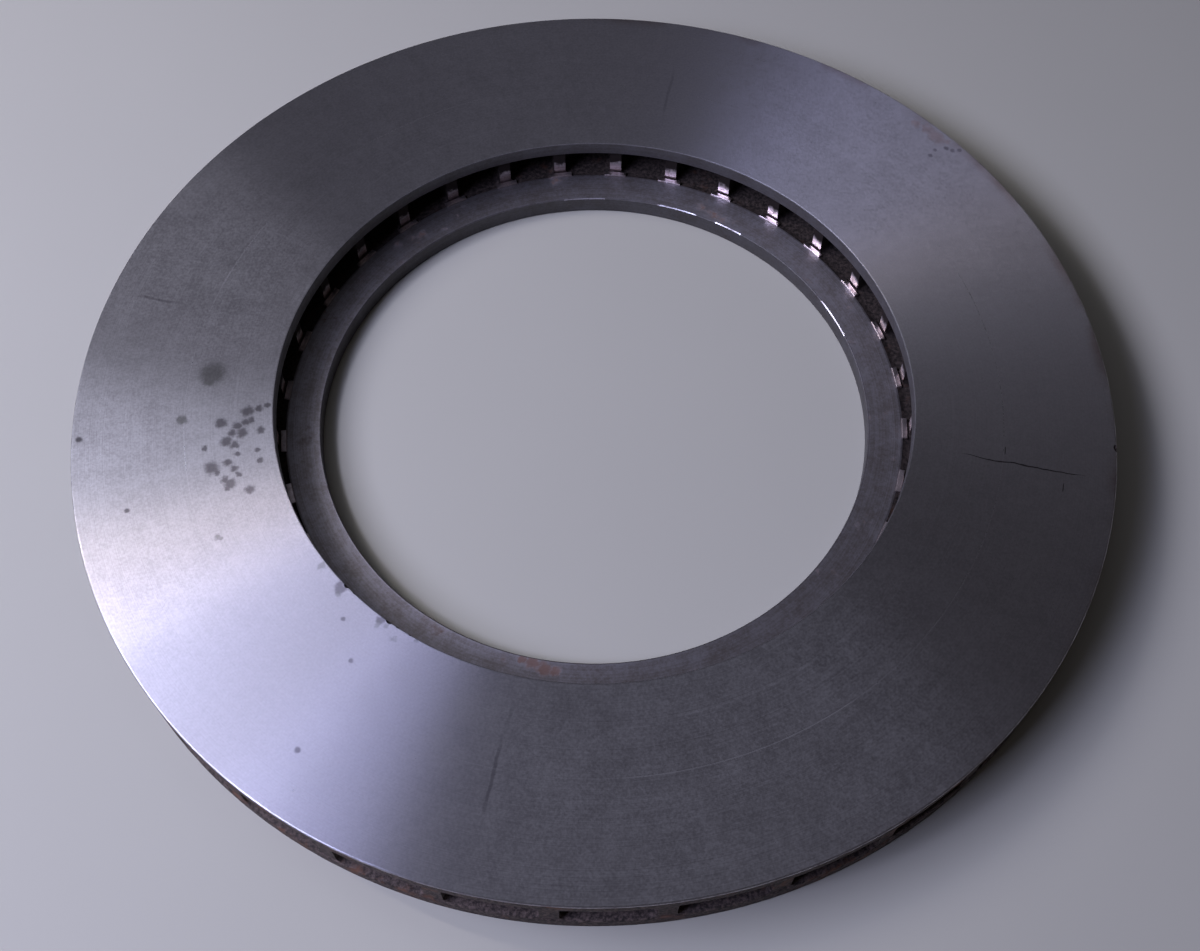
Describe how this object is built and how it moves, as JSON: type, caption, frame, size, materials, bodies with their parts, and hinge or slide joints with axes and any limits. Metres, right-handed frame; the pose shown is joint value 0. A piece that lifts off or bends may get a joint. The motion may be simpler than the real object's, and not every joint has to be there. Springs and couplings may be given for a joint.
{
  "type": "ventilated brake disc friction ring",
  "caption": "Flat iron ring of two annular friction plates joined by radial cooling vanes, with a turned inner ledge where its hub bell was machined away.",
  "frame": {"origin": "on the ring's axis, in the plane of the lower friction face that it rests on", "axes": "+Z along the ring's axis, from the plate with the inner ledge to the free plate; +X along the first cooling vane"},
  "size_m": [0.228, 0.228, 0.015],
  "materials": {
    "ground_iron": "turned and bedded friction faces, fine concentric marks, light staining",
    "cast_iron": "as cast with dry brown rust, bare turned metal on the inner ends"
  },
  "bodies": {
    "root": {"lower_friction_plate": "ground_iron", "upper_friction_plate": "ground_iron", "cooling_vane_01": "cast_iron", "cooling_vane_02": "cast_iron", "cooling_vane_03": "cast_iron", "cooling_vane_04": "cast_iron", "cooling_vane_05": "cast_iron", "cooling_vane_06": "cast_iron", "cooling_vane_07": "cast_iron", "cooling_vane_08": "cast_iron", "cooling_vane_09": "cast_iron", "cooling_vane_10": "cast_iron", "cooling_vane_11": "cast_iron", "cooling_vane_12": "cast_iron", "cooling_vane_13": "cast_iron", "cooling_vane_14": "cast_iron", "cooling_vane_15": "cast_iron", "cooling_vane_16": "cast_iron", "cooling_vane_17": "cast_iron", "cooling_vane_18": "cast_iron", "cooling_vane_19": "cast_iron", "cooling_vane_20": "cast_iron", "cooling_vane_21": "cast_iron", "cooling_vane_22": "cast_iron", "cooling_vane_23": "cast_iron", "cooling_vane_24": "cast_iron", "cooling_vane_25": "cast_iron", "cooling_vane_26": "cast_iron", "cooling_vane_27": "cast_iron", "cooling_vane_28": "cast_iron", "cooling_vane_29": "cast_iron", "cooling_vane_30": "cast_iron", "cooling_vane_31": "cast_iron", "cooling_vane_32": "cast_iron"}
  },
  "joints": []
}
